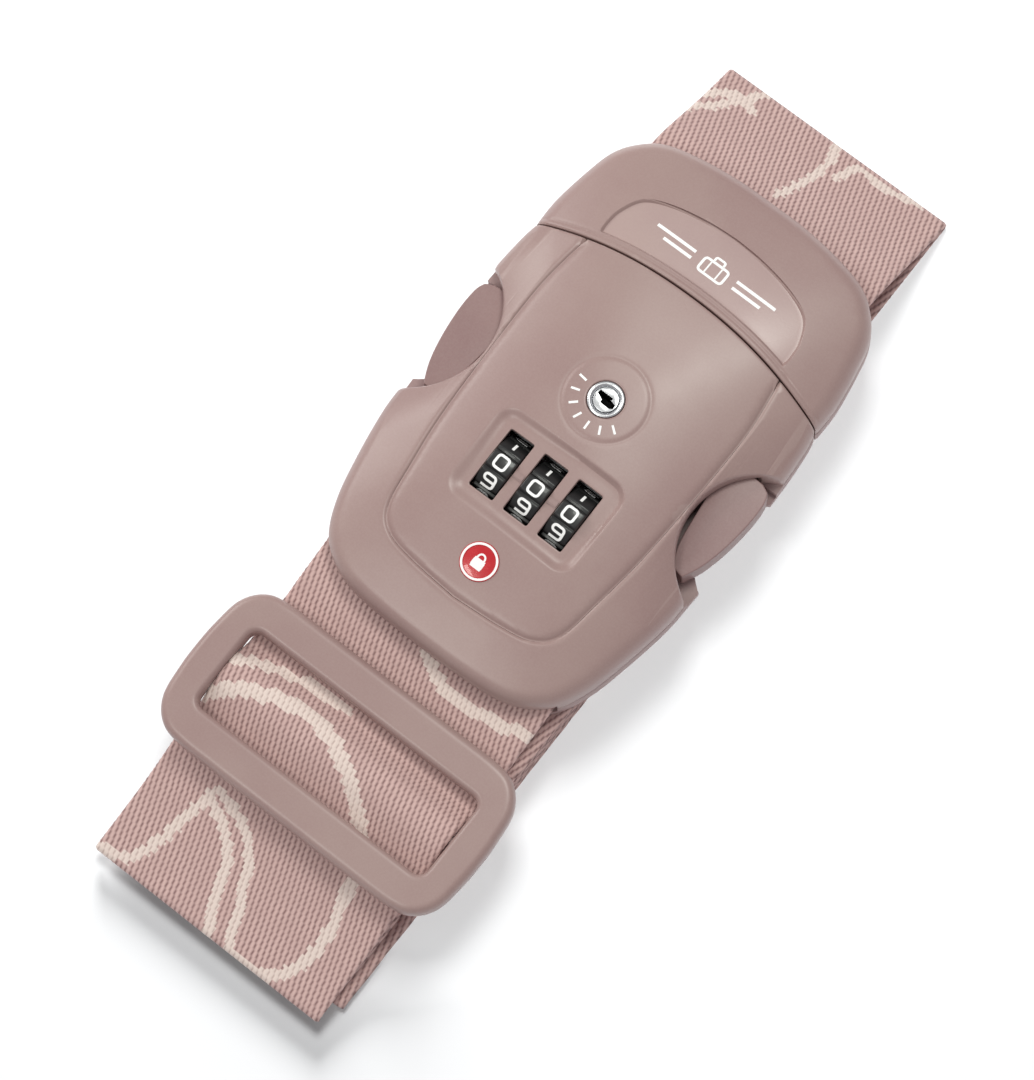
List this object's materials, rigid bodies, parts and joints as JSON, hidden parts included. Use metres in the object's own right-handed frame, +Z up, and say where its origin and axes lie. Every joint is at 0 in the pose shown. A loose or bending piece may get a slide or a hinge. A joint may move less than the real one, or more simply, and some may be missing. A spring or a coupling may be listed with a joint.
{
  "type": "luggage strap",
  "caption": "Folded webbing luggage strap with a combination-dial buckle, side release arms, a key lock and a sliding tri-glide adjuster.",
  "frame": {"origin": "centre of the bounding box's underside, on the surface the folded strap lies on", "axes": "+Y along the webbing from the adjuster towards the plug half, +X across the webbing, +Z up out of the number dials"},
  "size_m": [0.0656, 0.1858, 0.0253],
  "materials": {
    "webbing": "jacquard polyester webbing, satin",
    "shell": "fine matte",
    "shell_back": "matte",
    "steel": "zinc plated",
    "chrome": "polished",
    "dial": "gloss",
    "hub": "natural nylon",
    "badge": "gloss"
  },
  "bodies": {
    "lock_half": {"webbing_hank": "webbing", "webbing_front_run": "webbing", "webbing_return_run": "webbing", "lock_top_shell": "shell", "lock_cover_panel": "shell", "lock_back_shell": "shell_back", "lock_strap_bar": "steel", "lock_screws": "steel", "badge": "badge", "dial_axle": "steel", "detent_spring": "steel", "key_cylinder": "chrome", "slider_spring": "steel", "reset_spring": "steel"},
    "plug_half": {"webbing_top_loop": "webbing", "plug_cover": "shell", "plug_base": "shell_back", "plug_strap_bar": "steel", "plug_screws": "steel", "arm_pins": "steel", "arm_springs": "steel"},
    "left_arm": {"left_release_arm": "shell"},
    "right_arm": {"right_release_arm": "shell"},
    "dial_left_wheel": {"dial_left": "dial", "dial_hub_left": "hub"},
    "dial_middle_wheel": {"dial_middle": "dial", "dial_hub_middle": "hub"},
    "dial_right_wheel": {"dial_right": "dial", "dial_hub_right": "hub"},
    "key_barrel": {"key_plug": "chrome", "key_cam": "steel"},
    "slider": {"locking_slider": "steel"},
    "reset": {"reset_button": "shell_back"},
    "adjuster": {"adjuster_frame": "shell", "adjuster_bar": "shell_back"}
  },
  "joints": [
    {"name": "plug_pull_out", "type": "slide", "parent": "lock_half", "child": "plug_half", "axis": [0, 1, 0], "range_m": [0, 0.046], "deforming": ["left_release_arm", "right_release_arm"]},
    {"name": "left_arm_squeeze", "type": "hinge", "parent": "plug_half", "child": "left_arm", "pos_m": [-0.0225, 0.0514, 0.0147], "axis": [0, 0, 1], "range_deg": [0, 4.5], "stiffness_Nm_per_rad": 0.12},
    {"name": "right_arm_squeeze", "type": "hinge", "parent": "plug_half", "child": "right_arm", "pos_m": [0.0225, 0.0514, 0.0147], "axis": [0, 0, -1], "range_deg": [0, 4.5], "stiffness_Nm_per_rad": 0.12},
    {"name": "dial_left_turn", "type": "hinge", "parent": "lock_half", "child": "dial_left_wheel", "pos_m": [-0.00765, 0.0034, 0.018], "axis": [1, 0, 0], "continuous": true},
    {"name": "dial_middle_turn", "type": "hinge", "parent": "lock_half", "child": "dial_middle_wheel", "pos_m": [0, 0.0034, 0.018], "axis": [1, 0, 0], "continuous": true},
    {"name": "dial_right_turn", "type": "hinge", "parent": "lock_half", "child": "dial_right_wheel", "pos_m": [0.00765, 0.0034, 0.018], "axis": [1, 0, 0], "continuous": true},
    {"name": "key_turn", "type": "hinge", "parent": "lock_half", "child": "key_barrel", "pos_m": [0, 0.0236, 0.02], "axis": [0, 0, -1], "range_deg": [0, 90]},
    {"name": "slider_draw", "type": "slide", "parent": "lock_half", "child": "slider", "axis": [0, -1, 0], "range_m": [0, 0.00212], "deforming": ["slider_spring"]},
    {"name": "reset_press", "type": "slide", "parent": "lock_half", "child": "reset", "axis": [0, 0, 1], "range_m": [0, 0.0008], "stiffness_N_per_m": 150, "deforming": ["reset_spring"]},
    {"name": "adjuster_slide", "type": "slide", "parent": "lock_half", "child": "adjuster", "axis": [0, 1, 0], "range_m": [-0.012, 0.004], "deforming": ["webbing_front_run", "webbing_return_run"]}
  ],
  "couplings": [
    {"joint": "key_turn", "follows": "slider_draw", "rad_per_m": 740.48}
  ]
}
